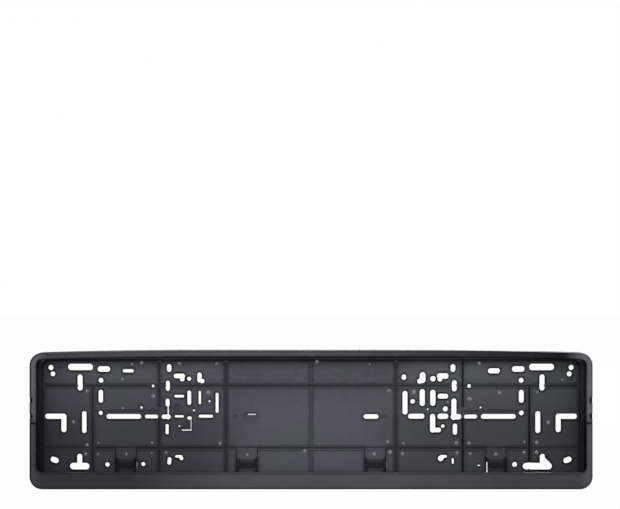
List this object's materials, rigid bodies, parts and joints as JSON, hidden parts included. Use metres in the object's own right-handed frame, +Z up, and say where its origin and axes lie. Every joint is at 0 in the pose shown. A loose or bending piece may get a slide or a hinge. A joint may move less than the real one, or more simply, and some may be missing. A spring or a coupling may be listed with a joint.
{
  "type": "number plate holder",
  "caption": "Long black plastic frame that holds a number plate on a vehicle, with a slotted back tray and a lower flap that swings open on side pins and latches shut.",
  "frame": {"origin": "centre of the back plane, halfway across the width and the height, on the back of the centre rib", "axes": "+X to the right along the long side, +Z up, and the front with the plate faces -Y"},
  "size_m": [0.53, 0.0124, 0.131],
  "materials": {
    "tray_plastic": "fine matt grain, near black",
    "flap_plastic": "fine matt grain with a slight sheen, near black"
  },
  "bodies": {
    "base": {"base_plate": "tray_plastic"},
    "flap": {"retaining_flap": "flap_plastic"}
  },
  "joints": [
    {"name": "flap_hinge", "type": "hinge", "parent": "base", "child": "flap", "pos_m": [0, -0.0084, -0.0088], "axis": [-1, 0, 0], "range_deg": [0, 70]}
  ]
}
